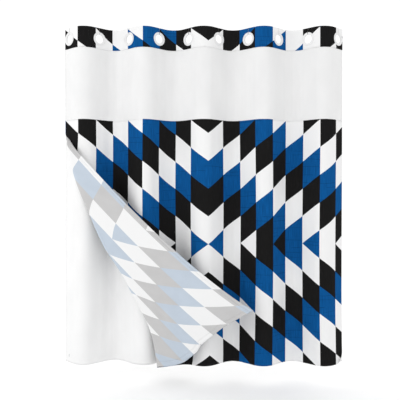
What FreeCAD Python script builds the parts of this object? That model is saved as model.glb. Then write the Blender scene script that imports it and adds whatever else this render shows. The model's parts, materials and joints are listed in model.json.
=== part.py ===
import FreeCAD, Part
import os
import Sketcher

# A hookless shower curtain with a snap-in liner. X runs along the rod, -Y is the room
# side and +Z is up. The origin lies on the rod's axis at the middle of the curtain.
# Lengths are in millimetres and angles in degrees.
DIMENSIONS = {
    # the folds: a straight run of cloth through each ring, joined by arcs
    "ring_pitch": 167,
    "ring_tilt": 40,
    "flat_run": 80,
    "edge_margin": 30,
    # the header: a printed facing and a backing with a stiff core between them
    "header_top": 50,
    "header_height": 115,
    "facing_thickness": 0.5,
    "core_thickness": 1,
    "slit_width": 1.2,
    "cutter_reach": 15,
    "cutter_overrun": 1,
    # the panels, from the top down
    "window_thickness": 0.6,
    "window_height": 400,
    "panel_thickness": 1,
    "panel_height": 1365,
    "tape_height": 24,
    "tape_thickness": 0.8,
    "liner_thickness": 0.8,
    "liner_height": 1355,
    "liner_drop": 5,
    "liner_gap": 7.5,
    # the lower left corner, turned over to the front along a slanting crease
    "crease_top": 73,
    "crease_foot": 526,
    "corner_along": 1282,
    "corner_across": 615,
    "corner_lift": 11,
    "corner_gap": 2,
    # the flex-on rings: a front half with a collar, and a back half round the collar
    "ring_drop": 11.5,
    "ring_outer": 37.5,
    "ring_bore": 24,
    "collar_outer": 27,
    "collar_fit": 0.1,
    "ring_plate": 2.6,
    "ring_round": 1.2,
    "ring_gap_angle": 6,
    # the press studs between the curtain and its liner
    "snap_level": 477,
    "snap_standoff": 0.3,
    "snap_flange": 6,
    "snap_plate": 1,
    "socket_boss": 4.2,
    "socket_depth": 3,
    "socket_bore": 2.4,
    "socket_floor": 0.8,
    "stud_neck": 1.6,
    "stud_head": 1.9,
    "stud_shoulder": 2.2,
    "stud_tip": 3.1,
    "stud_chamfer": 0.3,
    # the magnets in the liner's hem
    "weight_level": 1787,
    "weight_radius": 11,
    "weight_thickness": 3,
    "weight_round": 0.6,
}

RING_COUNT = 10
WEIGHTED_RINGS = (1, 4, 7, 10)
ROUND_TOLERANCE = 0.01

# Measures worked out from the sheet, as FreeCAD expressions.
ALONG = "Dims.flat_run / 2 * cos(Dims.ring_tilt)"
ASIDE = "Dims.flat_run / 2 * sin(Dims.ring_tilt)"
BEND = f"((Dims.ring_pitch / 2 - {ALONG}) / sin(Dims.ring_tilt))"
CREST = f"({ASIDE} + {BEND} * (1 - cos(Dims.ring_tilt)))"
HEADER_BOTTOM = "(Dims.header_top - Dims.header_height)"
PANEL_TOP = f"({HEADER_BOTTOM} - Dims.window_height)"
PANEL_BOTTOM = f"({PANEL_TOP} - Dims.panel_height)"
LINER_TOP = f"({PANEL_TOP} - Dims.liner_drop)"
CORE_HALF = "(Dims.core_thickness / 2)"
HEADER_HALF = f"({CORE_HALF} + Dims.facing_thickness)"
LEFT_EDGE = f"(-Dims.ring_pitch * {(RING_COUNT - 1) / 2} - Dims.edge_margin)"

doc = FreeCAD.newDocument("shower_curtain")
sheet = doc.addObject("Spreadsheet::Sheet", "Dims")
nodes = {}


def fill_sheet():
    for row, (alias, value) in enumerate(DIMENSIONS.items(), start=1):
        sheet.set(f"A{row}", alias)
        sheet.set(f"B{row}", str(value))
        sheet.setAlias(f"B{row}", alias)
    doc.recompute()


def measure(formula):
    """Work out an expression on the sheet's values."""
    result = sheet.evalExpression(formula)
    return float(getattr(result, "Value", result))


def ring_x(number):
    """The place of ring 1, 2, ... along the rod; half numbers lie between rings."""
    return f"(Dims.ring_pitch * {number - (RING_COUNT + 1) / 2})"


def side_of(number):
    """Which way the cloth heads at a ring: -1 to the room side, 1 to the bath side."""
    return -1 if number % 2 else 1


def place(piece, x="0", y="0", z="0", yaw="0", pitch="0", roll="0"):
    """Bind a piece's place and turn to the sheet."""
    spot = f"vector({x}; {y}; {z})"
    piece.setExpression("Placement", f"placement({spot}; rotation({yaw}; {pitch}; {roll}))")


def keep(piece, name):
    """Name a finished sub-part."""
    piece.Label = name
    nodes[name] = piece


def pin_point(sketch, element, end, x, y):
    """Hold one end of a sketch element at a place given by two expressions."""
    for kind, formula in (("DistanceX", x), ("DistanceY", y)):
        name = f"{kind[-1]}{element}_{end}"
        value = measure(formula)
        row = sketch.addConstraint(Sketcher.Constraint(kind, -1, 1, element, end, value))
        sketch.renameConstraint(row, name)
        sketch.setExpression(f"Constraints.{name}", formula)


def outline(sketch, corners):
    """Draw a closed polygon through corners given as pairs of expressions."""
    spots = [FreeCAD.Vector(measure(x), measure(y), 0) for x, y in corners]
    for n, (x, y) in enumerate(corners):
        sketch.addGeometry(Part.LineSegment(spots[n], spots[(n + 1) % len(spots)]))
    for n, (x, y) in enumerate(corners):
        pin_point(sketch, n, 1, x, y)
        follower = (n + 1) % len(corners)
        sketch.addConstraint(Sketcher.Constraint("Coincident", n, 2, follower, 1))


def fold_line():
    """Draw the cloth's middle line in plan: one run per ring and an arc between."""
    sketch = doc.addObject("Sketcher::SketchObject", "fold_line")
    for ring in range(1, RING_COUNT + 1):
        side = side_of(ring)
        before = "Dims.edge_margin" if ring == 1 else ALONG
        after = "Dims.edge_margin" if ring == RING_COUNT else ALONG
        ends = []
        for way, reach in ((-1, before), (1, after)):
            x = f"{ring_x(ring)} + {way} * {reach}"
            ends.append((x, f"{way * side} * {reach} * tan(Dims.ring_tilt)"))
        spots = [FreeCAD.Vector(measure(x), measure(y), 0) for x, y in ends]
        run = sketch.addGeometry(Part.LineSegment(*spots))
        pin_point(sketch, run, 1, *ends[0])
        pin_point(sketch, run, 2, *ends[1])
    tilt = measure("Dims.ring_tilt * pi / 180")
    quarter = measure("pi / 2")
    for ring in range(1, RING_COUNT):
        side = side_of(ring)
        height = f"{side} * ({ASIDE} - {BEND} * cos(Dims.ring_tilt))"
        centre = FreeCAD.Vector(measure(ring_x(ring + 0.5)), measure(height), 0)
        circle = Part.Circle(centre, FreeCAD.Vector(0, 0, 1), measure(BEND))
        start = side * quarter - tilt
        arc = sketch.addGeometry(Part.ArcOfCircle(circle, start, start + 2 * tilt))
        first, last = (1, 2) if side < 0 else (2, 1)
        sketch.addConstraint(Sketcher.Constraint("Coincident", arc, first, ring - 1, 2))
        sketch.addConstraint(Sketcher.Constraint("Coincident", arc, last, ring, 1))
        name = f"bend_{ring}"
        row = sketch.addConstraint(Sketcher.Constraint("Radius", arc, measure(BEND)))
        sketch.renameConstraint(row, name)
        sketch.setExpression(f"Constraints.{name}", BEND)
    doc.recompute()
    return sketch


def cloth(name, middle, back, thickness, height, bottom, shift="0"):
    """Extrude a folded sheet of cloth.

    back is how far the sheet's back face lies in front of the middle line, and shift
    moves the whole sheet towards the bath.
    """
    line = doc.addObject("Part::Offset2D", f"{name}_line")
    line.Source = middle
    line.Mode = "Skin"
    line.setExpression("Value", back)
    face = doc.addObject("Part::Offset2D", f"{name}_face")
    face.Source = line
    face.Mode = "Skin"
    face.Fill = True
    face.setExpression("Value", thickness)
    sheet_solid = doc.addObject("Part::Extrusion", name)
    sheet_solid.Base = face
    sheet_solid.DirMode = "Custom"
    sheet_solid.Dir = FreeCAD.Vector(0, 0, 1)
    sheet_solid.Solid = True
    sheet_solid.setExpression("LengthFwd", height)
    place(sheet_solid, y=shift, z=bottom)
    return sheet_solid


def ring_cutters():
    """The holes for the collars, each with a slit up to the header's top edge."""
    reach = "Dims.cutter_reach"
    tools = []
    for ring in range(1, RING_COUNT + 1):
        yaw = f"{side_of(ring)} * Dims.ring_tilt"
        hole = doc.addObject("Part::Cylinder", f"hole_{ring:02d}")
        hole.setExpression("Radius", "Dims.collar_outer + Dims.collar_fit")
        hole.setExpression("Height", reach)
        back_x = f"{ring_x(ring)} - sin({yaw}) * {reach} / 2"
        place(hole, back_x, f"cos({yaw}) * {reach} / 2", "-Dims.ring_drop", yaw, "0", "90")
        slit = doc.addObject("Part::Box", f"slit_{ring:02d}")
        slit.setExpression("Length", "Dims.slit_width")
        slit.setExpression("Width", reach)
        slit.setExpression("Height", "Dims.header_top + Dims.ring_drop + Dims.cutter_overrun")
        left = f"(-Dims.slit_width / 2 * cos({yaw}) + {reach} / 2 * sin({yaw}))"
        front = f"(-Dims.slit_width / 2 * sin({yaw}) - {reach} / 2 * cos({yaw}))"
        place(slit, f"{ring_x(ring)} + {left}", front, "-Dims.ring_drop", yaw)
        tools += [hole, slit]
    cutters = doc.addObject("Part::MultiFuse", "ring_cutters")
    cutters.Shapes = tools
    return cutters


def make_header(middle):
    """Build the header's three layers, cut through at every ring."""
    layers = {
        "header_facing": (CORE_HALF, "Dims.facing_thickness"),
        "header_core": (f"-{CORE_HALF}", "Dims.core_thickness"),
        "header_backing": (f"-{HEADER_HALF}", "Dims.facing_thickness"),
    }
    cutters = ring_cutters()
    for name, (back, thickness) in layers.items():
        band = cloth(f"{name}_band", middle, back, thickness, "Dims.header_height", HEADER_BOTTOM)
        layer = doc.addObject("Part::Cut", name)
        layer.Base = band
        layer.Tool = cutters
        keep(layer, name)


def triangle(name, corners, thickness):
    """Extrude a triangle drawn in a plane of its own, in that plane's normal."""
    sketch = doc.addObject("Sketcher::SketchObject", f"{name}_outline")
    outline(sketch, corners)
    solid = doc.addObject("Part::Extrusion", name)
    solid.Base = sketch
    solid.DirMode = "Custom"
    solid.Dir = FreeCAD.Vector(0, 0, 1)
    solid.Solid = True
    solid.setExpression("LengthFwd", thickness)
    return solid


def make_panels(middle):
    """Build the window, the printed panel, its snap tape, and the liner with its own."""
    window = cloth(
        "window_panel", middle, "-Dims.window_thickness / 2", "Dims.window_thickness",
        "Dims.window_height", PANEL_TOP,
    )
    keep(window, "window_panel")
    whole = cloth(
        "whole_panel", middle, "-Dims.panel_thickness / 2", "Dims.panel_thickness",
        "Dims.panel_height", PANEL_BOTTOM,
    )
    depth = f"(4 * {CREST})"
    crease_height = "(Dims.panel_height - Dims.crease_top)"
    past = "-Dims.cutter_overrun"
    corner = [(past, past), ("Dims.crease_foot", past), (past, crease_height)]
    cutter = triangle("corner_cutter", corner, depth)
    place(cutter, LEFT_EDGE, f"{depth} / 2", PANEL_BOTTOM, roll="90")
    panel = doc.addObject("Part::Cut", "front_panel")
    panel.Base = whole
    panel.Tool = cutter
    keep(panel, "front_panel")
    tape = cloth(
        "snap_tape", middle, "-Dims.panel_thickness / 2 - Dims.tape_thickness",
        "Dims.tape_thickness", "Dims.tape_height", f"{PANEL_TOP} - Dims.tape_height",
    )
    keep(tape, "snap_tape")
    liner = cloth(
        "liner_panel", middle, "-Dims.liner_thickness / 2", "Dims.liner_thickness",
        "Dims.liner_height", f"{LINER_TOP} - Dims.liner_height", "Dims.liner_gap",
    )
    keep(liner, "liner_panel")
    liner_tape = cloth(
        "liner_tape", middle, "Dims.liner_thickness / 2", "Dims.tape_thickness",
        "Dims.tape_height", f"{LINER_TOP} - Dims.tape_height", "Dims.liner_gap",
    )
    keep(liner_tape, "liner_tape")


def make_turned_corner():
    """Lay the panel's lower left corner over its front, hinged up along the crease."""
    crease_drop = "(Dims.panel_height - Dims.crease_top)"
    crease = f"sqrt({crease_drop} ^ 2 + Dims.crease_foot ^ 2)"
    corners = [
        ("0", "0"),
        ("0", f"-{crease}"),
        ("Dims.corner_across", "-Dims.corner_along"),
    ]
    corner = triangle("turned_corner", corners, "Dims.panel_thickness")
    lean = f"atan(Dims.crease_foot / {crease_drop})"
    front = f"-({CREST} + Dims.corner_gap)"
    spot = f"vector({LEFT_EDGE}; {front}; {PANEL_TOP} - Dims.crease_top)"
    stand = "rotation(vector(1; 0; 0); 90)"
    slant = f"rotation(vector(0; 0; 1); {lean})"
    lift = "rotation(vector(0; 1; 0); -Dims.corner_lift)"
    corner.setExpression("Placement", f"placement({spot}; {stand} * {slant} * {lift})")
    keep(corner, "turned_corner")


def turned(name, corners, angle="360", rounds=(), round_size="Dims.ring_round"):
    """Revolve a profile about the piece's own Y axis, with its X as the radius.

    rounds lists the edges to round, each by its radius and its place on the axis.
    """
    body = doc.addObject("PartDesign::Body", name)
    sketch = body.newObject("Sketcher::SketchObject", f"{name}_profile")
    planes = {plane.Role: plane for plane in body.Origin.OriginFeatures}
    sketch.AttachmentSupport = [(planes["XY_Plane"], "")]
    sketch.MapMode = "FlatFace"
    outline(sketch, corners)
    turn = body.newObject("PartDesign::Revolution", f"{name}_turn")
    turn.Profile = sketch
    turn.ReferenceAxis = (sketch, ["V_Axis"])
    turn.Midplane = True
    turn.setExpression("Angle", angle)
    doc.recompute()
    if rounds:
        wanted = [(measure(radius), measure(level)) for radius, level in rounds]
        edges = []
        for number, edge in enumerate(turn.Shape.Edges, start=1):
            curve = edge.Curve
            if not isinstance(curve, Part.Circle):
                continue
            found = (curve.Radius, curve.Center.y)
            if any(
                abs(found[0] - radius) < ROUND_TOLERANCE
                and abs(found[1] - level) < ROUND_TOLERANCE
                for radius, level in wanted
            ):
                edges.append(f"Edge{number}")
        smooth = body.newObject("PartDesign::Fillet", f"{name}_rounds")
        smooth.Base = (turn, edges)
        smooth.setExpression("Radius", round_size)
    keep(body, name)
    return body


def box_profile(inner, outer, low, high):
    return [(inner, low), (outer, low), (outer, high), (inner, high)]


def make_ring(ring):
    """Build a ring's two halves, split at the top so that it flexes over the rod."""
    front = f"(-{HEADER_HALF} - Dims.ring_plate)"
    back = f"({HEADER_HALF} + Dims.ring_plate)"
    angle = "360 - Dims.ring_gap_angle"
    spot = (ring_x(ring), "0", "-Dims.ring_drop", f"{side_of(ring)} * Dims.ring_tilt", "90")
    front_corners = [
        ("Dims.ring_bore", front),
        ("Dims.ring_outer", front),
        ("Dims.ring_outer", f"-{HEADER_HALF}"),
        ("Dims.collar_outer", f"-{HEADER_HALF}"),
        ("Dims.collar_outer", back),
        ("Dims.ring_bore", back),
    ]
    front_rounds = [("Dims.ring_bore", front), ("Dims.ring_outer", front)]
    half = turned(f"ring_front_{ring:02d}", front_corners, angle, front_rounds)
    place(half, *spot)
    back_inner = "Dims.collar_outer + Dims.collar_fit"
    back_corners = box_profile(back_inner, "Dims.ring_outer", HEADER_HALF, back)
    back_rounds = [("Dims.ring_outer", back)]
    half = turned(f"ring_back_{ring:02d}", back_corners, angle, back_rounds)
    place(half, *spot)


def make_snap(gap):
    """Build the press stud midway between two rings: a socket and the liner's stud."""
    side = side_of(gap)
    across = f"({side} * {CREST})"
    socket = turned(
        f"snap_socket_{gap:02d}",
        [
            ("0", "0"),
            ("Dims.snap_flange", "0"),
            ("Dims.snap_flange", "Dims.snap_plate"),
            ("Dims.socket_boss", "Dims.snap_plate"),
            ("Dims.socket_boss", "Dims.socket_depth"),
            ("Dims.socket_bore", "Dims.socket_depth"),
            ("Dims.socket_bore", "Dims.socket_floor"),
            ("0", "Dims.socket_floor"),
        ],
    )
    tape_back = "Dims.panel_thickness / 2 + Dims.tape_thickness"
    place(
        socket, ring_x(gap + 0.5), f"{across} + {tape_back} + Dims.snap_standoff",
        "-Dims.snap_level",
    )
    stud = turned(
        f"snap_stud_{gap:02d}",
        [
            ("0", "0"),
            ("Dims.snap_flange", "0"),
            ("Dims.snap_flange", "-Dims.snap_plate"),
            ("Dims.stud_neck", "-Dims.snap_plate"),
            ("Dims.stud_neck", "-Dims.stud_shoulder"),
            ("Dims.stud_head", "-Dims.stud_shoulder - Dims.stud_chamfer"),
            ("Dims.stud_head", "-Dims.stud_tip + Dims.stud_chamfer"),
            ("Dims.stud_neck", "-Dims.stud_tip"),
            ("0", "-Dims.stud_tip"),
        ],
    )
    tape_front = "Dims.liner_gap - Dims.liner_thickness / 2 - Dims.tape_thickness"
    place(
        stud, ring_x(gap + 0.5), f"{across} + {tape_front} - Dims.snap_standoff",
        "-Dims.snap_level",
    )


def make_weight(number, ring):
    """Build a round magnet, flat against the back of the liner's hem."""
    back = "(Dims.liner_thickness / 2 + Dims.snap_standoff)"
    far = f"({back} + Dims.weight_thickness)"
    magnet = turned(
        f"liner_weight_{number}",
        box_profile("0", "Dims.weight_radius", back, far),
        rounds=[("Dims.weight_radius", back), ("Dims.weight_radius", far)],
        round_size="Dims.weight_round",
    )
    yaw = f"{side_of(ring)} * Dims.ring_tilt"
    place(magnet, ring_x(ring), "Dims.liner_gap", "-Dims.weight_level", yaw)


def check_document():
    """Stop if any object failed or any sub-part is empty or broken."""
    for item in doc.Objects:
        if {"Invalid", "Error"} & set(item.State):
            raise RuntimeError(f"{item.Label} failed: {item.State}")
    for name, piece in nodes.items():
        if piece.Shape.isNull() or not piece.Shape.isValid():
            raise RuntimeError(f"{name} has no valid shape")
        if not piece.Shape.Solids:
            raise RuntimeError(f"{name} has no solid")


def export_parts():
    os.makedirs("parts", exist_ok=True)
    for name, piece in nodes.items():
        piece.Shape.exportStep(f"parts/{name}.step")


fill_sheet()
middle_line = fold_line()
make_header(middle_line)
make_panels(middle_line)
make_turned_corner()
for ring_number in range(1, RING_COUNT + 1):
    make_ring(ring_number)
for gap_number in range(1, RING_COUNT):
    make_snap(gap_number)
for weight_number, weight_ring in enumerate(WEIGHTED_RINGS, start=1):
    make_weight(weight_number, weight_ring)
doc.recompute()
check_document()
export_parts()
print(f"{len(nodes)} sub-parts, cloth {middle_line.Shape.Length:.0f} mm wide when flat")
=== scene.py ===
import json
import math

import bmesh
import bpy
import numpy as np
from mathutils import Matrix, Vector


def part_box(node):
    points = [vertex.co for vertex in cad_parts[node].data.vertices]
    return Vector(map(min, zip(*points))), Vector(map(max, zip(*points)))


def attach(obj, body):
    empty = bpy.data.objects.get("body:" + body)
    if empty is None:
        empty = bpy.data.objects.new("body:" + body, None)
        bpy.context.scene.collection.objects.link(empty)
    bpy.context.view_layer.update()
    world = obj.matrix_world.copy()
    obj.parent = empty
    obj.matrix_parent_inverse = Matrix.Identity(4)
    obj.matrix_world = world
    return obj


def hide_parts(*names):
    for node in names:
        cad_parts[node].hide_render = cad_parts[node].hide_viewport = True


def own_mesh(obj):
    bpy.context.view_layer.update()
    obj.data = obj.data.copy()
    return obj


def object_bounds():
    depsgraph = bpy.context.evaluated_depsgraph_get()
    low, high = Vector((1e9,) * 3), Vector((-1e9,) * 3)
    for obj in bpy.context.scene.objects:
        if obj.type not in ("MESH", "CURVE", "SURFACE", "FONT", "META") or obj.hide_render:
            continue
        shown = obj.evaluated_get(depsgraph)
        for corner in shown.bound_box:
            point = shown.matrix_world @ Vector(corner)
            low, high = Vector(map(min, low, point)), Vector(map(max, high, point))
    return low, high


# The shower curtain's visible surfaces. X runs along the rod, -Y is the room side and
# +Z is up. Lengths are in metres and angles in radians. Flat cloth is measured by s,
# from the first ring towards the last, and by z, its height when it hangs.

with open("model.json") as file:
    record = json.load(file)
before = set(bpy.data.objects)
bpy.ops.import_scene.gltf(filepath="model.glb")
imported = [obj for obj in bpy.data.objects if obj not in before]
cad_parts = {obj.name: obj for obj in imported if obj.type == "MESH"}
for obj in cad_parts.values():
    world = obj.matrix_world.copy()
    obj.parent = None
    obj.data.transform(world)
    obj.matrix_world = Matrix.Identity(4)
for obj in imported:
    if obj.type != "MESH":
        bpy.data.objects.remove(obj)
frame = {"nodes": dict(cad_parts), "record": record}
cad_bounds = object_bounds()

# ---- sizes read from the frame ----


def box(node):
    """A node's lowest and highest corners as arrays."""
    low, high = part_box(node)
    return np.array(low, float), np.array(high, float)


def middle(*nodes):
    """The middle of the box round some nodes."""
    low = np.min([box(n)[0] for n in nodes], axis=0)
    high = np.max([box(n)[1] for n in nodes], axis=0)
    return (low + high) / 2


RINGS = 10
RING_CENTRES = [
    middle(f"ring_front_{n:02d}", f"ring_back_{n:02d}") for n in range(1, RINGS + 1)
]
FIRST_X = RING_CENTRES[0][0]
LAST_X = RING_CENTRES[-1][0]
RING_Z = RING_CENTRES[0][2]
PITCH = (LAST_X - FIRST_X) / (RINGS - 1)
HEADER_LOW, HEADER_HIGH = box("header_facing")
WINDOW_LOW, WINDOW_HIGH = box("window_panel")
PANEL_LOW, PANEL_HIGH = box("front_panel")
LINER_LOW, LINER_HIGH = box("liner_panel")
CORNER_LOW, CORNER_HIGH = box("turned_corner")
EDGE_X = FIRST_X - HEADER_LOW[0]

# ---- the folds, as the part draws them: straight through each ring, then an arc ----

TILT = math.radians(40)
HALF_RUN = 0.04
BEND = (PITCH / 2 - HALF_RUN * math.cos(TILT)) / math.sin(TILT)
FLAT_PITCH = 2 * (HALF_RUN + BEND * TILT)
EDGE = EDGE_X / math.cos(TILT)
FLAT_LEFT = -EDGE
FLAT_RIGHT = (RINGS - 1) * FLAT_PITCH + EDGE
HEM_DEEPER = 0.14
LINER_GAP = 0.0075
SEAM_FADE = 0.05
DRIFT = 0.0035
DRIFT_DEPTH = 0.9
LONG_WRINKLE = 0.0011
SHORT_WRINKLE = 0.0005
STREAK_WRINKLE = 0.0007
WRINKLE_DEPTH = 0.5
VALLEY_DEPTH = 0.004
VALLEY_WIDTH = 0.014
SNAP_Z = middle("snap_socket_01")[2]
SNAP_CLEAR = 0.035

# ---- thicknesses and seams ----

CLOTH = 0.0005
PANEL_CLOTH = 0.0006
SHEER_CLOTH = 0.0004
STIFFENER_CLOTH = 0.0006
TAPE_CLOTH = 0.0006
SIDE_HEM = 0.016
FOOT_HEM = 0.026
LINER_HEM = 0.03
HEM_BEHIND = 0.0008
HEM_STITCH_IN = 0.002
HEM_GRID = (0.005, 0.006)
STITCH_LENGTH = 0.0032
STITCH_STEP = 0.0046
STITCH_THICK = 0.0005
STITCH_SIDES = 5
STITCH_PROFILE = ((0.0, 0.35), (0.3, 1.0), (0.7, 1.0), (1.0, 0.35))
STITCH_LIFT = 0.0005
PANEL_BACK_STITCH = 0.0013

# ---- how the gathered cloth follows the rings ----


def ease(t):
    """0 before t = 0, 1 after t = 1, and a smooth rise between."""
    t = np.clip(t, 0, 1)
    return t * t * (3 - 2 * t)


def fold_line(s):
    """Where the folded cloth lies, seen from above: x and y at each flat place s."""
    wave = np.clip(np.floor(s / FLAT_PITCH), 0, RINGS - 2)
    t = s - wave * FLAT_PITCH
    side = np.where(wave % 2 == 0, -1.0, 1.0)
    bent = np.clip((t - HALF_RUN) / BEND, 0, 2 * TILT)
    before = np.minimum(t, HALF_RUN)
    after = np.maximum(t - HALF_RUN - 2 * TILT * BEND, 0)
    x = (before + after) * math.cos(TILT) + BEND * (math.sin(TILT) - np.sin(TILT - bent))
    y = (before - after) * math.sin(TILT) + BEND * (np.cos(TILT - bent) - math.cos(TILT))
    return FIRST_X + wave * PITCH + x, side * y


def drift(s, z):
    """How far the folds wander sideways below the stiff header. The sines' rates, here and
    in ripple, are in radians a metre."""
    depth = HEADER_LOW[2] - z
    slack = ease(depth / DRIFT_DEPTH)
    slow = np.sin(2.1 * depth + 5.2 * s) + 0.6 * np.sin(3.7 * depth - 8.3 * s + 1.3)
    return DRIFT * slack * slow


def ripple(s, z):
    """Shallow wrinkles between the folds, out of the cloth's own surface."""
    depth = HEADER_LOW[2] - z
    slack = ease(depth / WRINKLE_DEPTH)
    long_waves = np.sin(38 * s + 1.9 * depth) * np.sin(23 * s - 2.7 * depth + 0.8)
    short_waves = np.sin(71 * s + 4.1 * depth + 2.0) * np.sin(13 * s + 3.3 * depth)
    streaks = np.sin(118 * s + 0.9 * depth) * np.sin(17 * s + 1.1)
    below_seam = ease(depth / SEAM_FADE)
    wrinkles = slack * (LONG_WRINKLE * long_waves + SHORT_WRINKLE * short_waves)
    return wrinkles + below_seam * STREAK_WRINKLE * streaks


def valley_crease(s, z):
    """The soft crease down the middle of each fold that points to the bath. It fades out
    at the header's seam and where the snaps hold the cloth."""
    valley = (np.floor(s / (2 * FLAT_PITCH)) + 0.75) * 2 * FLAT_PITCH
    sharp = VALLEY_DEPTH * np.exp(-np.abs(s - valley) / VALLEY_WIDTH)
    off_snaps = 1 - np.exp(-((z - SNAP_Z) / SNAP_CLEAR) ** 2)
    inside = (valley < FLAT_RIGHT) & (s > 0)
    return np.where(inside, sharp * off_snaps * ease((HEADER_LOW[2] - z) / SEAM_FADE), 0)


def hung(s, z):
    """The folded cloth's surface: x, y and z at flat places s and z."""
    s, z = np.broadcast_arrays(np.asarray(s, float), np.asarray(z, float))
    x, y = fold_line(s)
    deeper = 1 + HEM_DEEPER * ease((HEADER_LOW[2] - z) / (HEADER_LOW[2] - PANEL_LOW[2]))
    y = y * deeper + ripple(s, z) + valley_crease(s, z)
    return np.stack([x + drift(s, z), y, z], axis=-1)


# ---- the turned corner: the cloth left of a slanting crease lies over the front ----

CREASE_TOP_Z = CORNER_HIGH[2]
CREASE_FALL = CREASE_TOP_Z - PANEL_LOW[2]
CREASE_FOOT_X = 0.526
FLAT_PLACES = np.linspace(FLAT_LEFT, FLAT_RIGHT, 2000)
CREASE_FOOT = np.interp(HEADER_LOW[0] + CREASE_FOOT_X, fold_line(FLAT_PLACES)[0], FLAT_PLACES)
CREASE_RUN = CREASE_FOOT - FLAT_LEFT
CREASE_LENGTH = math.hypot(CREASE_RUN, CREASE_FALL)
CORNER_REACH = CREASE_FALL * CREASE_RUN / CREASE_LENGTH
CORNER_TIP_FALL = 0.96
CORNER_VECTOR = np.array([CORNER_HIGH[0] - CORNER_LOW[0], -CORNER_TIP_FALL])
CORNER_LIFT = 0.085
CORNER_LIFT_POWER = 1.6
CORNER_WAVE = 0.006
CREASE_Y = -0.063
CREASE_ROUND = 0.013
ROLL_FADE = 0.08
FOOT_FORWARD = 0.012
TIP_ROUNDING = 0.1
CREASE_START = 0.05
SWAY = 0.026
SWAY_GROWTH = 0.024
SWAY_SKEW = 1.15
SLIDE_REACH = 0.02
SLIDE_GROWTH = 0.55
LEAN_REACH = 0.05
LEAN_GROWTH = 0.27
EDGE_SAG = 0.07
EDGE_SAG_POWER = 0.8
HEM_BELLY = 0.04
BELLY_SKEW = 0.62
CURL_SIZE = 0.1
CURL_RADIUS = 0.035


def crease_sway(b):
    """How far the crease strays right of a straight line, b from 0 at its top to 1."""
    b = np.clip(b, 0, 1)
    return -(SWAY + SWAY_GROWTH * b) * np.sin(2 * math.pi * b**SWAY_SKEW)


def crease_depth(b):
    """The crease's own y, from the cloth's edge at its top to the front of the folds."""
    edge_y = fold_line(np.array([FLAT_LEFT]))[1][0]
    return edge_y + (CREASE_Y - edge_y) * ease(b / TIP_ROUNDING) - FOOT_FORWARD * b**3


def rolled(p, radius):
    """How far in from the crease a point p along the cloth lies, once the fold is round."""
    quarter = math.pi / 2 * radius
    on_roll = radius * (1 - np.cos(np.minimum(p / radius, math.pi / 2)))
    lost = (quarter - radius) * np.exp(-np.maximum(p - quarter, 0) / ROLL_FADE)
    return np.where(p < quarter, on_roll, p - lost)


def foot_curl(s, z):
    """How far the panel's lower right corner curls up and forward, as a shift."""
    past = np.maximum(CURL_SIZE - (FLAT_RIGHT - s) - (z - PANEL_LOW[2]), 0) / math.sqrt(2)
    lost = (past - CURL_RADIUS * np.sin(past / CURL_RADIUS)) / math.sqrt(2)
    forward = CURL_RADIUS * (1 - np.cos(past / CURL_RADIUS))
    return np.stack([-lost, -forward, lost], axis=-1)


def crease_share(s, z):
    """Flat places as shares of the corner's two sides: a along its free edge, b along
    the crease. Left of the crease a is above 0."""
    b = (s - FLAT_LEFT) / CREASE_RUN
    a = (CREASE_TOP_Z - z) / CREASE_FALL - b
    return a, b


def turned(s, z):
    """The printed cloth's surface, its lower left corner turned over to the front."""
    s, z = np.broadcast_arrays(np.asarray(s, float), np.asarray(z, float))
    a, b = crease_share(s, z)
    down = np.clip((CREASE_TOP_Z - z) / CREASE_FALL, 0, 1)
    reach = np.abs(a) * CORNER_REACH
    radius = CREASE_ROUND * ease(down / TIP_ROUNDING) + 1e-5
    inward = rolled(reach, radius)
    bulge = radius * np.sin(np.minimum(reach / radius, math.pi / 2))

    # right of the crease: the hanging panel, drawn forward where it meets the crease
    gap = np.maximum(s - FLAT_LEFT - down * CREASE_RUN, 0)
    slide = (1 - ease(gap / (SLIDE_REACH + SLIDE_GROWTH * down))) * crease_sway(down)
    panel = hung(s + slide * FLAT_PITCH / PITCH, z)
    started = ease(down / CREASE_START)
    near = (1 - ease(gap / (LEAN_REACH + LEAN_GROWTH * down))) * started
    lean = np.array([CREASE_FALL, CREASE_FOOT_X]) / math.hypot(CREASE_FALL, CREASE_FOOT_X)
    short = (reach - inward) * started
    right = panel + foot_curl(s, z)
    right[..., 0] -= short * lean[0]
    right[..., 2] -= short * lean[1]
    right[..., 1] += near * (crease_depth(down) + bulge - panel[..., 1])

    # left of the crease: the corner, laid over the front
    crease_s = FLAT_LEFT + np.clip(b, 0, 1) * CREASE_RUN
    start = hung(crease_s + crease_sway(b) * FLAT_PITCH / PITCH, CREASE_TOP_Z - b * CREASE_FALL)
    share = np.where(reach > 1e-9, a * inward / np.maximum(reach, 1e-9), 0)
    off_crease = np.clip(a / np.maximum(down, 1e-6), 0, 1)
    sag = EDGE_SAG * np.sin(math.pi * down) ** EDGE_SAG_POWER * off_crease
    left = start.copy()
    left[..., 0] += share * CORNER_VECTOR[0]
    belly = HEM_BELLY * np.sin(math.pi * np.clip(a, 0, 1) ** BELLY_SKEW) * down**3
    left[..., 2] += share * CORNER_VECTOR[1] - sag - belly
    lift = CORNER_LIFT * np.clip(a, 0, 1) ** CORNER_LIFT_POWER
    left[..., 1] = crease_depth(down) - bulge - lift
    wave = np.sin(5.5 * down + 1.0) * np.sin(math.pi * np.clip(a, 0, 1)) * ease(down / 0.3)
    left[..., 1] -= CORNER_WAVE * wave
    return np.where((a > 0)[..., None], left, right)


def lifted(surface, distance):
    """The same surface moved out of its printed side by a distance."""

    def moved(s, z):
        step = 5e-4
        across = surface(s + step, z) - surface(s - step, z)
        upward = surface(s, z + step) - surface(s, z - step)
        normal = np.cross(across, upward)
        normal /= np.maximum(np.linalg.norm(normal, axis=-1, keepdims=True), 1e-12)
        return surface(s, z) + distance * normal

    return moved


# ---- procedural materials ----

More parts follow.
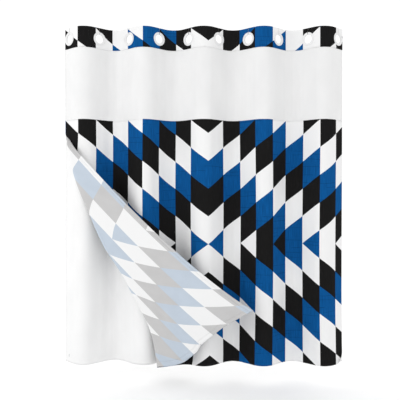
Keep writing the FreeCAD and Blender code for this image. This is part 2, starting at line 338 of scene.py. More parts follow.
# A print layout has a column's width and a cell's height, the s and z of the two lines that
# the print is mirrored about, and which ink the first cell has. The reverse has a layout
# of its own, so its cells don't meet the front's at the crease.
MIDDLE_CREST = (RINGS - 1) / 2 * FLAT_PITCH
FRONT_PRINT = {"column": 0.1043, "row": 0.1536, "centre": MIDDLE_CREST + 0.0247,
               "level": -1.157, "phase": 0}
REVERSE_PRINT = {"column": 0.092, "row": 0.1485, "centre": MIDDLE_CREST + 0.0327,
                 "level": -1.154, "phase": 2}
HEADER_PRINT_RISE = 0.0525
OUTERMOST_COLUMN = 8
CRACK_SPACING = 0.023
CRACK_WIDTH = 0.0013
PRINT_THREAD = 0.0011
TAPE_RIB = 0.0016

# Inks, as linear colours: on the printed side, then as they show through to the back.
WHITE_INK = (0.8, 0.8, 0.8)
BLACK_INK = (0.0095, 0.0092, 0.0092)
BLUE_INK = (0.0028, 0.0775, 0.257)
WHITE_BACK = (0.785, 0.785, 0.785)
GREY_BACK = (0.507, 0.503, 0.503)
BLUE_BACK = (0.48, 0.543, 0.62)


class Nodes:
    """Short ways to add nodes to one material."""

    def __init__(self, name):
        self.material = bpy.data.materials.new(name)
        self.material.use_nodes = True
        self.tree = self.material.node_tree
        self.shader = self.tree.nodes["Principled BSDF"]

    def add(self, kind, **settings):
        node = self.tree.nodes.new(kind)
        for key, value in settings.items():
            setattr(node, key, value)
        return node

    def link(self, out, into):
        self.tree.links.new(out, into)

    def put(self, socket, value):
        if isinstance(value, bpy.types.NodeSocket):
            self.link(value, socket)
        else:
            socket.default_value = value

    def math(self, operation, *values):
        node = self.add("ShaderNodeMath", operation=operation)
        for socket, value in zip(node.inputs, values):
            self.put(socket, value)
        return node.outputs[0]

    def flat_uv(self):
        """The flat cloth's own coordinates, in metres."""
        uv = self.add("ShaderNodeUVMap", uv_map="flat")
        parts = self.add("ShaderNodeSeparateXYZ")
        self.link(uv.outputs[0], parts.inputs[0])
        return uv.outputs[0], parts.outputs[0], parts.outputs[1]

    def noise(self, vector, stretch, detail=2.0):
        scaled = self.add("ShaderNodeVectorMath", operation="MULTIPLY")
        self.link(vector, scaled.inputs[0])
        scaled.inputs[1].default_value = stretch
        texture = self.add("ShaderNodeTexNoise")
        texture.inputs["Scale"].default_value = 1.0
        texture.inputs["Detail"].default_value = detail
        self.link(scaled.outputs[0], texture.inputs["Vector"])
        return texture.outputs["Fac"]

    def mix(self, share, first, second, blend="MIX"):
        node = self.add("ShaderNodeMix", data_type="RGBA", blend_type=blend)
        self.put(node.inputs[0], share)
        for socket, value in ((node.inputs[6], first), (node.inputs[7], second)):
            self.put(socket, value if isinstance(value, bpy.types.NodeSocket) else (*value, 1))
        return node.outputs[2]

    def range(self, value, low, high, to_low, to_high):
        node = self.add("ShaderNodeMapRange")
        for socket, number in zip(node.inputs, (value, low, high, to_low, to_high)):
            self.put(socket, number)
        return node.outputs[0]

    def bump(self, height, distance, strength=1.0):
        node = self.add("ShaderNodeBump")
        node.inputs["Strength"].default_value = strength
        node.inputs["Distance"].default_value = distance
        self.link(height, node.inputs["Height"])
        self.link(node.outputs[0], self.shader.inputs["Normal"])

    def weave(self, across, upward, thread):
        """Over-and-under threads, as a height from 0 to 1."""
        turns = 2 * math.pi / thread
        warp = self.math("SINE", self.math("MULTIPLY", across, turns))
        weft = self.math("SINE", self.math("MULTIPLY", upward, turns))
        return self.math("MULTIPLY_ADD", self.math("MULTIPLY", warp, weft), 0.5, 0.5)

    def finish(self, roughness, sheen=0.0, specular=0.3):
        self.shader.inputs["Roughness"].default_value = roughness
        self.shader.inputs["Sheen Weight"].default_value = sheen
        self.shader.inputs["Specular IOR Level"].default_value = specular
        return self.material


def print_cell(nodes, across, upward, layout):
    """Which ink a place has: 0, 1 or 2, in slanting cells mirrored about two lines. The
    outermost columns' end cells stay white where they would be blue."""
    column = nodes.math("ABSOLUTE", nodes.math("SUBTRACT", across, layout["centre"]))
    column = nodes.math("DIVIDE", column, layout["column"])
    row = nodes.math("ABSOLUTE", nodes.math("SUBTRACT", upward, layout["level"]))
    row = nodes.math("DIVIDE", row, layout["row"])
    slanted = nodes.math("SUBTRACT", row, nodes.math("MULTIPLY", column, 0.5))
    total = nodes.math("ADD", nodes.math("FLOOR", slanted), nodes.math("FLOOR", column))
    cell = nodes.math("FLOORED_MODULO", nodes.math("ADD", total, layout["phase"]), 3)
    outermost = nodes.math("GREATER_THAN", column, OUTERMOST_COLUMN)
    end_cell = nodes.math("MULTIPLY", outermost, nodes.math("GREATER_THAN", slanted, 0))
    spare_blue = nodes.math("MULTIPLY", end_cell, nodes.math("GREATER_THAN", cell, 1.5))
    return nodes.math("MULTIPLY", cell, nodes.math("SUBTRACT", 1, spare_blue))


def print_colours(nodes, cell, inks):
    """The colour of each cell, from three inks."""
    is_blue = nodes.math("GREATER_THAN", cell, 1.5)
    is_inked = nodes.math("GREATER_THAN", cell, 0.5)
    dark = nodes.mix(is_blue, inks[1], inks[2])
    return nodes.mix(is_inked, inks[0], dark), is_inked, is_blue


def printed_cloth():
    """The printed side: solid inks with a worn, grainy look on a plain weave."""
    nodes = Nodes("printed_cloth")
    uv, across, upward = nodes.flat_uv()
    cell = print_cell(nodes, across, upward, FRONT_PRINT)
    colour, inked, blue = print_colours(nodes, cell, (WHITE_INK, BLACK_INK, BLUE_INK))
    grain = nodes.noise(uv, (420, 14, 1), 4)
    streaks = nodes.range(grain, 0.3, 0.7, 0.74, 1.22)
    colour = nodes.mix(inked, colour, nodes.mix(1.0, colour, streaks, "MULTIPLY"))
    wander = nodes.math("MULTIPLY", nodes.noise(uv, (5, 18, 1), 1), 0.03)
    row = nodes.math("DIVIDE", nodes.math("ADD", upward, wander), CRACK_SPACING)
    crack = nodes.math("LESS_THAN", nodes.math("FRACT", row), CRACK_WIDTH / CRACK_SPACING)
    patch = nodes.math("GREATER_THAN", nodes.noise(uv, (4, 45, 1), 0), 0.56)
    crack = nodes.math("MULTIPLY", nodes.math("MULTIPLY", crack, patch), blue)
    darker = nodes.mix(1.0, colour, (0.3, 0.36, 0.42), "MULTIPLY")
    colour = nodes.mix(crack, colour, darker)
    nodes.link(colour, nodes.shader.inputs["Base Color"])
    threads = nodes.weave(across, upward, PRINT_THREAD)
    slub = nodes.noise(uv, (90, 900, 1), 2)
    nodes.bump(nodes.math("ADD", threads, slub), 0.00012, 0.35)
    return nodes.finish(roughness=0.9, sheen=0.0, specular=0.06)


def reverse_cloth():
    """The unprinted side, where the inks only show faintly through."""
    nodes = Nodes("reverse_cloth")
    uv, across, upward = nodes.flat_uv()
    cell = print_cell(nodes, across, upward, REVERSE_PRINT)
    colour, inked, _ = print_colours(nodes, cell, (WHITE_BACK, GREY_BACK, BLUE_BACK))
    patchy = nodes.range(nodes.noise(uv, (14, 14, 1), 3), 0.3, 0.7, 0.965, 1.025)
    colour = nodes.mix(inked, colour, nodes.mix(1.0, colour, patchy, "MULTIPLY"))
    nodes.link(colour, nodes.shader.inputs["Base Color"])
    threads = nodes.weave(across, upward, PRINT_THREAD)
    nodes.bump(threads, 0.00012, 0.35)
    return nodes.finish(roughness=0.85, sheen=0.1, specular=0.2)


def plain_cloth(name, colour, thread, see_through=0.0, slubs=(60, 1100, 1)):
    """White woven cloth, with thick and thin threads."""
    nodes = Nodes(name)
    uv, across, upward = nodes.flat_uv()
    uneven = nodes.range(nodes.noise(uv, (9, 5, 1), 3), 0.3, 0.7, 0.975, 1.02)
    nodes.link(nodes.mix(1.0, colour, uneven, "MULTIPLY"), nodes.shader.inputs["Base Color"])
    threads = nodes.weave(across, upward, thread)
    slub = nodes.noise(uv, slubs, 2)
    nodes.bump(nodes.math("ADD", threads, slub), 0.00012, 0.4)
    nodes.shader.inputs["Alpha"].default_value = 1 - see_through
    return nodes.finish(roughness=0.85, sheen=0.1, specular=0.2)


def twill_tape():
    """Woven tape with slanting ribs, and painted shade in the hollows between them."""
    nodes = Nodes("woven_tape")
    uv, across, upward = nodes.flat_uv()
    slant = nodes.math("ADD", across, upward)
    ribs = nodes.math("SINE", nodes.math("MULTIPLY", slant, 2 * math.pi / TAPE_RIB))
    # painted shade: the colour darkens in each rib's hollow, following the bump's ribs
    shade = nodes.range(ribs, -1, 1, 0.93, 1.0)
    nodes.link(nodes.mix(1.0, (0.86, 0.86, 0.85), shade, "MULTIPLY"),
               nodes.shader.inputs["Base Color"])
    nodes.bump(ribs, 0.0001, 0.5)
    return nodes.finish(roughness=0.8)


def moulded(name, colour, roughness, coat=0.0):
    """Moulded plastic: nearly smooth, with faint flow marks."""
    nodes = Nodes(name)
    place = nodes.add("ShaderNodeTexCoord").outputs["Object"]
    flow = nodes.noise(place, (60, 60, 160), 3)
    shade = nodes.range(flow, 0.3, 0.7, 0.985, 1.01)
    nodes.link(nodes.mix(1.0, colour, shade, "MULTIPLY"), nodes.shader.inputs["Base Color"])
    nodes.link(nodes.range(flow, 0.3, 0.7, roughness - 0.04, roughness + 0.06),
               nodes.shader.inputs["Roughness"])
    nodes.bump(nodes.noise(place, (700, 700, 700), 2), 0.00003, 0.4)
    nodes.shader.inputs["Specular IOR Level"].default_value = 0.5
    nodes.shader.inputs["Coat Weight"].default_value = coat
    return nodes.material


def thread_material():
    """Spun sewing thread."""
    nodes = Nodes("sewing_thread")
    place = nodes.add("ShaderNodeTexCoord").outputs["Object"]
    twist = nodes.noise(place, (1500, 1500, 1500), 2)
    shade = nodes.range(twist, 0.3, 0.7, 0.88, 1.0)
    nodes.link(nodes.mix(1.0, (0.84, 0.84, 0.83), shade, "MULTIPLY"),
               nodes.shader.inputs["Base Color"])
    return nodes.finish(roughness=0.6, sheen=0.2)


def floor_material():
    """A plain pale floor, with the faintest mottling."""
    nodes = Nodes("floor")
    place = nodes.add("ShaderNodeTexCoord").outputs["Object"]
    shade = nodes.range(nodes.noise(place, (2, 2, 2), 2), 0.3, 0.7, 0.985, 1.0)
    nodes.link(nodes.mix(1.0, (0.97, 0.97, 0.97), shade, "MULTIPLY"),
               nodes.shader.inputs["Base Color"])
    return nodes.finish(roughness=0.9)


PRINTED = printed_cloth()
REVERSE = reverse_cloth()
SHEER = plain_cloth("sheer_cloth", (0.8, 0.8, 0.8), 0.0014, see_through=0.06, slubs=(40, 700, 1))
LINING = plain_cloth("lining_cloth", (0.78, 0.78, 0.775), 0.001)
STIFFENER = plain_cloth("stiffener", (0.7, 0.7, 0.69), 0.002)
LINER = plain_cloth("liner_cloth", (0.8, 0.8, 0.8), 0.0009)
TAPE = twill_tape()
RING_PLASTIC = moulded("ring_plastic", (0.74, 0.74, 0.74), roughness=0.3, coat=0.1)
SNAP_PLASTIC = moulded("snap_plastic", (0.86, 0.86, 0.87), roughness=0.35)
MAGNET_COVER = moulded("magnet_cover", (0.42, 0.43, 0.45), roughness=0.3)
THREAD = thread_material()

# ---- meshes ----


def object_from(name, mesh_data, materials):
    """An object in the scene, from a finished mesh and its materials."""
    for material in materials:
        mesh_data.materials.append(material)
    made = bpy.data.objects.new(name, mesh_data)
    bpy.context.collection.objects.link(made)
    for polygon in mesh_data.polygons:
        polygon.use_smooth = True
    return made


def apply_modifier(made, kind, **settings):
    """Add a modifier and make its result the object's mesh."""
    modifier = made.modifiers.new(kind.lower(), kind)
    for key, value in settings.items():
        setattr(modifier, key, value)
    bpy.context.view_layer.update()
    depsgraph = bpy.context.evaluated_depsgraph_get()
    result = bpy.data.meshes.new_from_object(made.evaluated_get(depsgraph))
    made.modifiers.clear()
    made.data = result
    for polygon in result.polygons:
        polygon.use_smooth = True


def flat_grid(left, right, bottom, top, step_s, step_z):
    """A flat mesh of quads: s and z of its corners in a bmesh, at y = 0."""
    across = max(1, round((right - left) / step_s))
    upward = max(1, round((top - bottom) / step_z))
    mesh = bmesh.new()
    rows = [
        [
            mesh.verts.new((left + (right - left) * i / across, 0,
                            bottom + (top - bottom) * j / upward))
            for i in range(across + 1)
        ]
        for j in range(upward + 1)
    ]
    for low, high in zip(rows, rows[1:]):
        for i in range(across):
            mesh.faces.new((low[i], low[i + 1], high[i + 1], high[i]))
    return mesh


def hang(name, mesh, surface, thickness, materials, uv_rise=0.0):
    """Hang a flat bmesh on a surface, give it flat coordinates as its UV map and a
    thickness, the first material on its front and the second on its back."""
    layer = mesh.loops.layers.uv.new("flat")
    for face in mesh.faces:
        for loop in face.loops:
            loop[layer].uv = (loop.vert.co.x, loop.vert.co.z + uv_rise)
    data = bpy.data.meshes.new(name)
    mesh.to_mesh(data)
    mesh.free()
    flat = np.array([v.co for v in data.vertices])
    places = surface(flat[:, 0], flat[:, 2])
    data.vertices.foreach_set("co", places.ravel())
    data.update()
    made = object_from(name, data, materials)
    back = 1 if len(materials) > 1 else 0
    apply_modifier(made, "SOLIDIFY", thickness=thickness, offset=0,
                   material_offset=back, material_offset_rim=back)
    return made


def stitches(name, surface, lines, lift, material=THREAD, uv_rise=0.0):
    """Rows of stitches as small raised dashes. Each line is a start and an end in flat
    coordinates."""
    starts, ends = [], []
    for start, end in lines:
        start, end = np.array(start, float), np.array(end, float)
        length = np.linalg.norm(end - start)
        count = max(1, int(length / STITCH_STEP))
        first = start + (end - start) * np.arange(count)[:, None] / count
        starts.append(first)
        ends.append(first + (end - start) / length * STITCH_LENGTH)
    starts, ends = np.concatenate(starts), np.concatenate(ends)
    outer = lifted(surface, lift)
    a, b = outer(starts[:, 0], starts[:, 1]), outer(ends[:, 0], ends[:, 1])
    out = lifted(surface, lift * 2)(starts[:, 0], starts[:, 1]) - a
    out /= np.linalg.norm(out, axis=1, keepdims=True)
    along = (b - a) / np.linalg.norm(b - a, axis=1, keepdims=True)
    aside = np.cross(along, out)
    rings = []
    for place, size in STITCH_PROFILE:
        centre = a + (b - a) * place
        for turn in range(STITCH_SIDES):
            angle = 2 * math.pi * turn / STITCH_SIDES
            spoke = math.cos(angle) * aside + math.sin(angle) * out
            rings.append(centre + spoke * STITCH_THICK / 2 * size)
    verts = np.stack(rings, axis=1)
    sides, bands = STITCH_SIDES, len(STITCH_PROFILE) - 1
    each = sides * (bands + 1)
    faces = []
    for n in range(len(verts)):
        base = n * each
        for k in range(bands):
            low = base + k * sides
            high = low + sides
            for t in range(sides):
                u = (t + 1) % sides
                faces.append((low + t, low + u, high + u, high + t))
        faces.append(tuple(base + t for t in reversed(range(sides))))
        faces.append(tuple(base + bands * sides + t for t in range(sides)))
    data = bpy.data.meshes.new(name)
    data.from_pydata([tuple(v) for v in verts.reshape(-1, 3)], [], faces)
    data.update()
    layer = data.uv_layers.new(name="flat")
    for loop in data.loops:
        layer.data[loop.index].uv = starts[loop.vertex_index // each] + (0, uv_rise)
    return object_from(name, data, [material])


def gather(piece, body):
    """Let a piece ride on a body, with a mesh of its own."""
    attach(piece, body)
    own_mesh(piece)
    return piece


def hem_strips(prefix, surface, low_z, high_z, foot_hem, material, body):
    """The doubled cloth down a piece's two sides and along its foot."""
    inner_left, inner_right = FLAT_LEFT + SIDE_HEM, FLAT_RIGHT - SIDE_HEM
    strips = {
        "left": (FLAT_LEFT, inner_left, low_z, high_z),
        "right": (inner_right, FLAT_RIGHT, low_z, high_z),
        "foot": (inner_left, inner_right, low_z, low_z + foot_hem),
    }
    hems = []
    for side, edges in strips.items():
        strip = flat_grid(*edges, *HEM_GRID)
        hem = hang(f"{prefix}_hem_{side}", strip, lifted(surface, -HEM_BEHIND), CLOTH, [material])
        hems.append(gather(hem, body))
    return hems


def hem_lines(low_z, high_z, foot_hem):
    """Where the hems are sewn: up both sides and along the foot."""
    left = FLAT_LEFT + SIDE_HEM - HEM_STITCH_IN
    right = FLAT_RIGHT - SIDE_HEM + HEM_STITCH_IN
    foot = low_z + foot_hem - HEM_STITCH_IN
    return [
        ((left, foot), (left, high_z)),
        ((right, foot), (right, high_z)),
        ((left, foot), (right, foot)),
    ]


# ---- the header ----

HOLE = 0.0271
SLIT = 0.0006
SPOKES = 72
SPOKE_STEPS = 7
HEADER_STACK = 0.00075
TURNOVER = 0.014
TURNOVER_ROWS = (0, 0.06, 0.12, 0.18, 0.24, 0.5, 0.75, 1.0)
TURNOVER_SPARE = 0.0006
CORE_FOOT_IN = 0.006
CORE_TOP_IN = 0.003
LINING_TOP_IN = 0.005
HEADER_END_IN = 0.003
HEADER_SEAM_ROWS = (0.003, 0.008)
HEADER_FRONT_STITCH = 0.0011
HEADER_BACK_STITCH = 0.0013
TURNOVER_STITCH_DOWN = 0.011
SLIT_STITCH_CLEAR = 0.004


def header_patch(mesh, centre, left, right, bottom, top, turnover):
    """One ring's stretch of header: cloth from its round hole out to a rectangle, slit
    from the hole up to the top edge."""
    half_slit = math.asin(SLIT / HOLE)
    start = math.pi / 2 + half_slit
    sweep = 2 * (math.pi - half_slit)
    columns = []
    for i in range(SPOKES + 1):
        angle = start + sweep * i / SPOKES
        dx, dz = math.cos(angle), math.sin(angle)
        inner = (HOLE * dx, HOLE * dz)
        slit_edge = i in (0, SPOKES)
        if slit_edge:
            outer = (inner[0], top - RING_Z)
        else:
            limits = [
                (right - centre) / dx if dx > 1e-9 else math.inf,
                (left - centre) / dx if dx < -1e-9 else math.inf,
                (top - RING_Z) / dz if dz > 1e-9 else math.inf,
                (bottom - RING_Z) / dz if dz < -1e-9 else math.inf,
            ]
            outer = (dx * min(limits), dz * min(limits))
        columns.append([
            mesh.verts.new((
                centre + inner[0] + (outer[0] - inner[0]) * k / SPOKE_STEPS,
                0,
                RING_Z + inner[1] + (outer[1] - inner[1]) * k / SPOKE_STEPS,
            ))
            for k in range(SPOKE_STEPS + 1)
        ])
    for one, two in zip(columns, columns[1:]):
        for k in range(SPOKE_STEPS):
            mesh.faces.new((one[k], one[k + 1], two[k + 1], two[k]))
    corners = ((left, top), (right, top), (left, bottom), (right, bottom))
    for x, z in corners:
        close_corner(mesh, columns, x, z)
    if turnover:
        add_turnover(mesh, columns, top, turnover)


def close_corner(mesh, columns, x, z):
    """Fill the small triangle left where two spokes pass each side of a corner."""
    rim = [c[-1] for c in columns]
    for one, two in zip(rim, rim[1:]):
        on_side = abs(one.co.x - x) < 1e-7 or abs(two.co.x - x) < 1e-7
        on_level = abs(one.co.z - z) < 1e-7 or abs(two.co.z - z) < 1e-7
        same = abs(one.co.x - two.co.x) < 1e-7 or abs(one.co.z - two.co.z) < 1e-7
        if on_side and on_level and not same:
            mesh.faces.new((one, mesh.verts.new((x, 0, z)), two))


def add_turnover(mesh, columns, top, turnover):
    """Rows of cloth above the top edge, which turn over it and down the back."""
    slit_left, slit_right = sorted((columns[0][-1].co.x, columns[-1][-1].co.x))
    rim = [c[-1].co.x for c in columns]
    low, high = min(rim) - 1e-7, max(rim) + 1e-7
    xs = {round(v.co.x, 7) for v in mesh.verts if abs(v.co.z - top) < 1e-7}
    near = sorted(x for x in xs if low <= x <= high)
    heights = [top + turnover * share for share in TURNOVER_ROWS]
    for one, two in zip(near, near[1:]):
        if one >= slit_left - 1e-6 and two <= slit_right + 1e-6:
            continue
        for low_z, high_z in zip(heights, heights[1:]):
            corners = ((one, low_z), (two, low_z), (two, high_z), (one, high_z))
            mesh.faces.new([mesh.verts.new((x, 0, z)) for x, z in corners])


def header_sheet(bottom, top, turnover=0.0):
    """The header's flat cloth, all ten stretches in one mesh."""
    mesh = bmesh.new()
    for n in range(RINGS):
        centre = n * FLAT_PITCH
        left = FLAT_LEFT if n == 0 else centre - FLAT_PITCH / 2
        right = FLAT_RIGHT if n == RINGS - 1 else centre + FLAT_PITCH / 2
        header_patch(mesh, centre, left, right, bottom, top, turnover)
    bmesh.ops.remove_doubles(mesh, verts=mesh.verts, dist=2e-5)
    bmesh.ops.recalc_face_normals(mesh, faces=mesh.faces)
    if mesh.faces[0].normal.y > 0:
        bmesh.ops.reverse_faces(mesh, faces=mesh.faces)
    return mesh


def facing_surface(s, z):
    """The header's front cloth, which turns over the top edge and down the back."""
    top = HEADER_HIGH[2]
    over = np.maximum(z - top, 0)
    radius = HEADER_STACK + TURNOVER_SPARE
    angle = np.minimum(over / radius, math.pi)
    past = np.maximum(over - math.pi * radius, 0)
    height = np.minimum(z, top) + radius * np.sin(angle) - past - radius
    x, y = fold_line(s)
    step = 1e-4
    ahead_x, ahead_y = fold_line(s + step)
    heading = np.arctan2(ahead_y - y, ahead_x - x)
    out = -radius * np.cos(angle)
    return np.stack([x - np.sin(heading) * out, y + np.cos(heading) * out, height], axis=-1)


def turnover_rows(top):
    """Where the turnover is sewn down: a row between each slit and the next."""
    z = top - TURNOVER_STITCH_DOWN
    rows = [((FLAT_LEFT + HEADER_END_IN, z), (-SLIT_STITCH_CLEAR, z))]
    for n in range(RINGS - 1):
        start, end = n * FLAT_PITCH, (n + 1) * FLAT_PITCH
        rows.append(((start + SLIT_STITCH_CLEAR, z), (end - SLIT_STITCH_CLEAR, z)))
    return rows


def build_header():
    """The header's printed facing, stiffener and lining, with their stitches."""
    top, bottom = HEADER_HIGH[2], HEADER_LOW[2]
    facing = hang("header_printed_facing", header_sheet(bottom, top, TURNOVER),
                  facing_surface, CLOTH, [PRINTED, PRINTED], -HEADER_PRINT_RISE)
    core = hang("header_stiffener", header_sheet(bottom + CORE_FOOT_IN, top - CORE_TOP_IN),
                hung, STIFFENER_CLOTH, [STIFFENER])
    lining = hang("header_lining", header_sheet(bottom, top - LINING_TOP_IN),
                  lifted(hung, -HEADER_STACK), CLOTH, [LINING])
    rows = [((FLAT_LEFT + HEADER_END_IN, bottom + rise), (FLAT_RIGHT - HEADER_END_IN, bottom + rise))
            for rise in HEADER_SEAM_ROWS]
    seam = stitches("header_seam_stitches", hung, rows, HEADER_STACK + HEADER_FRONT_STITCH,
                    PRINTED, -HEADER_PRINT_RISE)
    back_seam = stitches("header_back_stitches", hung, rows + turnover_rows(top),
                         -HEADER_STACK - HEADER_BACK_STITCH)
    for piece, slot in ((facing, "printed_cloth"), (core, "stiffener"), (lining, "lining_cloth"),
                        (seam, "printed_cloth"), (back_seam, "lining_cloth")):
        gather(piece, "curtain")
    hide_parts("header_facing")
    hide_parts("header_core")
    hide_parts("header_backing")


# ---- the window ----

SEAM_LAP = 0.004
SEAM_BEHIND = 0.0009
WINDOW_TUCK = 0.003
WINDOW_STEP = 0.009
WINDOW_HEM_GRID = (0.004, 0.012)
WINDOW_HEM_BEHIND = 0.0006


def window_surface(s, z):
    """The window's cloth, which goes behind the printed panel at their seam."""
    surface = hung(s, z)
    surface[..., 1] += SEAM_BEHIND * ease((WINDOW_LOW[2] + SEAM_LAP - z) / SEAM_LAP)
    return surface


def build_window():
    """The plain band between the header and the panel, with its side hems."""
    mesh = flat_grid(FLAT_LEFT, FLAT_RIGHT, WINDOW_LOW[2] - SEAM_LAP,
                     WINDOW_HIGH[2] + WINDOW_TUCK, WINDOW_STEP, SEAM_LAP)
    window = hang("window_sheer", mesh, window_surface, SHEER_CLOTH, [SHEER])
    gather(window, "curtain")
    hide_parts("window_panel")
    for side, left in (("left", FLAT_LEFT), ("right", FLAT_RIGHT - SIDE_HEM)):
        strip = flat_grid(left, left + SIDE_HEM, WINDOW_LOW[2], WINDOW_HIGH[2], *WINDOW_HEM_GRID)
        hem = hang(f"window_hem_{side}", strip, lifted(hung, -WINDOW_HEM_BEHIND), SHEER_CLOTH,
                   [SHEER])
        gather(hem, "curtain")


# ---- the printed panel, in one cloth with its turned corner ----

PANEL_GRID = (0.0088, 0.0115)
CREASE_CUTS = (-1.5, -1, -0.75, -0.5, -0.25, 0, 0.25, 0.5, 0.75, 1, 1.5)
PANEL_TOP_ROWS = (0.003, 0.008)
PANEL_ROW_END_IN = 0.002
PANEL_HEM_TOP_IN = 0.004


def panel_sheet():
    """The panel's flat cloth, cut along the crease and beside it so that the fold is
    round."""
    mesh = flat_grid(FLAT_LEFT, FLAT_RIGHT, PANEL_LOW[2], PANEL_HIGH[2], *PANEL_GRID)
    quarter = math.pi / 2 * CREASE_ROUND
    normal = (CREASE_FALL / CREASE_LENGTH, 0, CREASE_RUN / CREASE_LENGTH)
    for share in CREASE_CUTS:
        bmesh.ops.bisect_plane(
            mesh,
            geom=[*mesh.verts, *mesh.edges, *mesh.faces],
            dist=1e-6,
            plane_co=(FLAT_LEFT + normal[0] * share * quarter, 0,
                      CREASE_TOP_Z + normal[2] * share * quarter),
            plane_no=normal,
        )
    return mesh


def build_panel():
    """The printed panel in one cloth, with its hems and stitches."""
    panel = hang("printed_panel", panel_sheet(), turned, PANEL_CLOTH, [PRINTED, REVERSE])
    gather(panel, "curtain")
    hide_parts("front_panel", "turned_corner")
    hems = hem_strips("panel", turned, PANEL_LOW[2], PANEL_HIGH[2], FOOT_HEM, REVERSE,
                      "curtain")
    lines = hem_lines(PANEL_LOW[2], PANEL_HIGH[2] - PANEL_HEM_TOP_IN, FOOT_HEM)
    top_rows = [((FLAT_LEFT + PANEL_ROW_END_IN, PANEL_HIGH[2] - drop),
                 (FLAT_RIGHT - PANEL_ROW_END_IN, PANEL_HIGH[2] - drop))
                for drop in PANEL_TOP_ROWS]
    front_rows = stitches("panel_stitches_front", turned, lines + top_rows, STITCH_LIFT, PRINTED)
    back_rows = stitches("panel_stitches_back", turned, lines, -PANEL_BACK_STITCH)
    for rows in (front_rows, back_rows):
        gather(rows, "curtain")


# ---- the snap tape, and the liner with its own tape ----

TAPE_IN = 0.004
TAPE_GRID = (0.009, 0.006)
TAPE_STITCH_IN = 0.006
TAPE_STITCH_EDGE = 0.0025
SNAP_TAPE_LIFT = -0.0013
LINER_TAPE_LIFT = 0.0008
LINER_GRID = (0.0095, 0.013)


def tape_on(name, node, surface, body, lift):
    """A strip of woven tape where a tape node lies, sewn along both edges."""
    low, high = box(node)
    mesh = flat_grid(FLAT_LEFT + TAPE_IN, FLAT_RIGHT - TAPE_IN, low[2], high[2], *TAPE_GRID)
    tape = hang(name, mesh, lifted(surface, lift), TAPE_CLOTH, [TAPE])
    gather(tape, body)
    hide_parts(node)
    edges = [((FLAT_LEFT + TAPE_STITCH_IN, z), (FLAT_RIGHT - TAPE_STITCH_IN, z))
             for z in (low[2] + TAPE_STITCH_EDGE, high[2] - TAPE_STITCH_EDGE)]
    sewn = stitches(f"{name}_stitches", surface, edges, lift + math.copysign(TAPE_CLOTH, lift))
    gather(sewn, body)


def liner_surface(s, z):
    """The liner hangs in the same folds as the curtain, just behind it."""
    return hung(s, z) + np.array([0.0, LINER_GAP, 0.0])


def build_liner():
    """The plain liner, with its hems and stitches."""
    mesh = flat_grid(FLAT_LEFT, FLAT_RIGHT, LINER_LOW[2], LINER_HIGH[2], *LINER_GRID)
    liner = hang("liner_cloth", mesh, liner_surface, CLOTH, [LINER])
    gather(liner, "liner")
    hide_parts("liner_panel")
    hems = hem_strips("liner", liner_surface, LINER_LOW[2], LINER_HIGH[2], LINER_HEM, LINER,
                      "liner")
    lines = hem_lines(LINER_LOW[2], LINER_HIGH[2], LINER_HEM)
    sewn = stitches("liner_stitches", liner_surface, lines, STITCH_LIFT)
    gather(sewn, "liner")


# ---- rings, snaps and magnets, which keep the part's own shapes ----


MAGNETS = 4


def follow(node, material):
    """A copy of a hard node, in a material of its own, on that node's own body."""
    source = frame["nodes"][node]
    made = bpy.data.objects.new(f"{node}_piece", source.data.copy())
    bpy.context.collection.objects.link(made)
    made.data.materials.clear()
    made.data.materials.append(material)
    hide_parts(node)
    gather(made, body_of(node))


def body_of(node):
    """The body that a node belongs to, as the record lists them."""
    for body, nodes in frame["record"]["behaviour"]["bodies"].items():
        if node in nodes:
            return body
    return "curtain"


def build_hardware():
    """The rings, the snaps' two halves and the magnets."""
    for n in range(1, RINGS + 1):
        for half in ("front", "back"):
            node = f"ring_{half}_{n:02d}"
            follow(node, RING_PLASTIC)
    for n in range(1, RINGS):
        for kind in ("socket", "stud"):
            follow(f"snap_{kind}_{n:02d}", SNAP_PLASTIC)
    for n in range(1, MAGNETS + 1):
        follow(f"liner_weight_{n}", MAGNET_COVER)


# ---- stage, lights and camera ----

FLOOR_GAP = 0.1
FLOOR_REACH = 30
WORLD_STRENGTH = 1.07
LIGHT_SIZE = 1.6
CAMERA_DISTANCE = 3.2
CAMERA_X = -0.021
CAMERA_Z = -0.913
CAMERA_LENS = 51.4


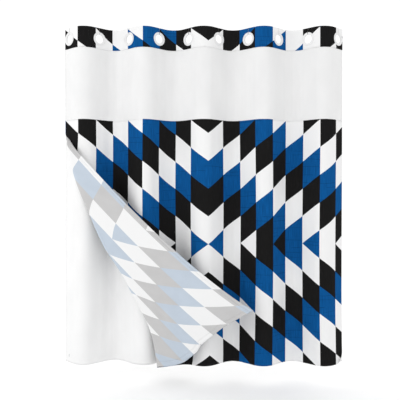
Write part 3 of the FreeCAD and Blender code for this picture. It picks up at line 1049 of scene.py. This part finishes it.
def build_stage():
    """A pale floor below the curtain, in an even white surround."""
    floor_z = cad_bounds[0][2] - FLOOR_GAP
    mesh = bmesh.new()
    bmesh.ops.create_grid(mesh, x_segments=1, y_segments=1, size=FLOOR_REACH)
    data = bpy.data.meshes.new("floor")
    mesh.to_mesh(data)
    mesh.free()
    floor = object_from("floor", data, [floor_material()])
    floor.location = (0, 0, floor_z)
    world = bpy.data.worlds.new("studio")
    bpy.context.scene.world = world
    world.use_nodes = True
    background = world.node_tree.nodes["Background"]
    background.inputs[0].default_value = (1, 1, 1, 1)
    background.inputs[1].default_value = WORLD_STRENGTH
    bpy.context.scene.view_settings.view_transform = "Standard"


def add_light(name, place, target, power):
    """A square area light at a place, turned towards a target."""
    data = bpy.data.lights.new(name, "AREA")
    data.shape = "RECTANGLE"
    data.size, data.size_y = LIGHT_SIZE, LIGHT_SIZE
    data.energy = power
    light = bpy.data.objects.new(name, data)
    bpy.context.collection.objects.link(light)
    light.location = place
    aim(light, target)


def aim(thing, target):
    """Turn a light or a camera to face a target, upright."""
    direction = Vector(target) - Vector(thing.location)
    thing.rotation_euler = direction.to_track_quat("-Z", "Y").to_euler()


def build_lights():
    """A key light from the left, a weak fill from the right and one for the bath side."""
    add_light("key", (-3.3, -2.3, 0.2), (0, 0, -0.9), 25)
    add_light("fill", (3.0, -2.6, -1.5), (-0.3, 0, -1.0), 4)
    add_light("back", (2.6, 3.0, 0.2), (0, 0, -0.9), 15)


def build_camera():
    """The camera, level with the middle of the curtain and square to the rod."""
    data = bpy.data.cameras.new("camera")
    data.sensor_width = 36
    data.lens = CAMERA_LENS
    camera = bpy.data.objects.new("camera", data)
    bpy.context.collection.objects.link(camera)
    camera.location = (CAMERA_X, -CAMERA_DISTANCE, CAMERA_Z)
    aim(camera, (CAMERA_X, 0, CAMERA_Z))
    bpy.context.scene.camera = camera


build_header()
build_window()
build_panel()
tape_on("snap_tape_strip", "snap_tape", turned, "curtain", SNAP_TAPE_LIFT)
build_liner()
tape_on("liner_cloth_tape", "liner_tape", liner_surface, "liner", LINER_TAPE_LIFT)
build_hardware()
build_stage()
build_lights()
build_camera()
